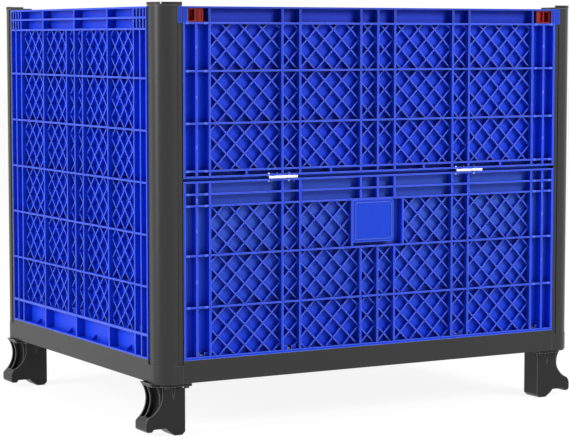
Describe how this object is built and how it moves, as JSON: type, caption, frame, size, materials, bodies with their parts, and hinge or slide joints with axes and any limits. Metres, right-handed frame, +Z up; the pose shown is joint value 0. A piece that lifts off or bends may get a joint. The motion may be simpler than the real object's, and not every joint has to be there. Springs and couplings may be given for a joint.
{
  "type": "collapsible bulk container",
  "caption": "Large open-top bulk box with ribbed lattice walls that fold in, a drop-down front gate, lift-out corner posts and fork feet.",
  "frame": {"origin": "on the floor under the plan centre of the base", "axes": "+X along the long side, to the right seen from the gate side; +Y to the back; +Z up"},
  "size_m": [1.242, 0.9603, 1.024],
  "materials": {
    "blue_plastic": "satin moulded plastic",
    "frame_plastic": "satin charcoal plastic",
    "foot_plastic": "satin black plastic",
    "red_plastic": "satin moulded plastic",
    "hinge_steel": "bright zinc plating",
    "zinc_steel": "zinc plating",
    "black_steel": "blackened steel"
  },
  "bodies": {
    "root": {"front_rail": "frame_plastic", "back_rail": "frame_plastic", "left_rail": "frame_plastic", "right_rail": "frame_plastic", "floor_deck": "frame_plastic", "socket_front_left": "frame_plastic", "socket_front_right": "frame_plastic", "socket_back_left": "frame_plastic", "socket_back_right": "frame_plastic", "foot_front_left": "foot_plastic", "foot_front_right": "foot_plastic", "foot_back_left": "foot_plastic", "foot_back_right": "foot_plastic", "foot_bolts": "black_steel", "back_sill": "blue_plastic", "left_sill": "blue_plastic", "right_sill": "blue_plastic", "front_wall_pins": "zinc_steel", "back_wall_pins": "zinc_steel", "left_wall_pins": "zinc_steel", "right_wall_pins": "zinc_steel"},
    "front_wall": {"front_lower_panel": "blue_plastic", "label_holder": "blue_plastic", "lower_hinge_leaves": "hinge_steel", "lower_hinge_screws": "hinge_steel", "gate_hinge_pins": "hinge_steel"},
    "gate": {"front_gate": "blue_plastic", "gate_hinge_leaves": "hinge_steel", "gate_hinge_screws": "hinge_steel"},
    "latch_left": {"latch_left": "red_plastic"},
    "latch_right": {"latch_right": "red_plastic"},
    "back_wall": {"back_wall": "blue_plastic"},
    "left_wall": {"left_wall": "blue_plastic"},
    "right_wall": {"right_wall": "blue_plastic"},
    "post_front_left": {"post_front_left": "frame_plastic", "cap_front_left": "foot_plastic", "keeper_left": "blue_plastic"},
    "post_front_right": {"post_front_right": "frame_plastic", "cap_front_right": "foot_plastic", "keeper_right": "blue_plastic"},
    "post_back_left": {"post_back_left": "frame_plastic", "cap_back_left": "foot_plastic"},
    "post_back_right": {"post_back_right": "frame_plastic", "cap_back_right": "foot_plastic"}
  },
  "joints": [
    {"name": "front_wall_fold", "type": "hinge", "parent": "root", "child": "front_wall", "pos_m": [0, -0.4585, 0.1883], "axis": [-1, 0, 0], "range_deg": [0, 90]},
    {"name": "back_wall_fold", "type": "hinge", "parent": "root", "child": "back_wall", "pos_m": [0, 0.4585, 0.2203], "axis": [1, 0, 0], "range_deg": [0, 90]},
    {"name": "left_wall_fold", "type": "hinge", "parent": "root", "child": "left_wall", "pos_m": [-0.581, 0, 0.2458], "axis": [0, 1, 0], "range_deg": [0, 90]},
    {"name": "right_wall_fold", "type": "hinge", "parent": "root", "child": "right_wall", "pos_m": [0.581, 0, 0.2713], "axis": [0, -1, 0], "range_deg": [0, 90]},
    {"name": "gate_drop", "type": "hinge", "parent": "front_wall", "child": "gate", "pos_m": [0, -0.479, 0.6085], "axis": [-1, 0, 0], "range_deg": [-180, 0]},
    {"name": "latch_left_slide", "type": "slide", "parent": "gate", "child": "latch_left", "axis": [-1, 0, 0], "range_m": [0, 0.008]},
    {"name": "latch_right_slide", "type": "slide", "parent": "gate", "child": "latch_right", "axis": [1, 0, 0], "range_m": [0, 0.008]},
    {"name": "post_front_left_lift", "type": "slide", "parent": "root", "child": "post_front_left", "axis": [0, 0, 1], "range_m": [0, 0.065]},
    {"name": "post_front_right_lift", "type": "slide", "parent": "root", "child": "post_front_right", "axis": [0, 0, 1], "range_m": [0, 0.065]},
    {"name": "post_back_left_lift", "type": "slide", "parent": "root", "child": "post_back_left", "axis": [0, 0, 1], "range_m": [0, 0.065]},
    {"name": "post_back_right_lift", "type": "slide", "parent": "root", "child": "post_back_right", "axis": [0, 0, 1], "range_m": [0, 0.065]}
  ]
}
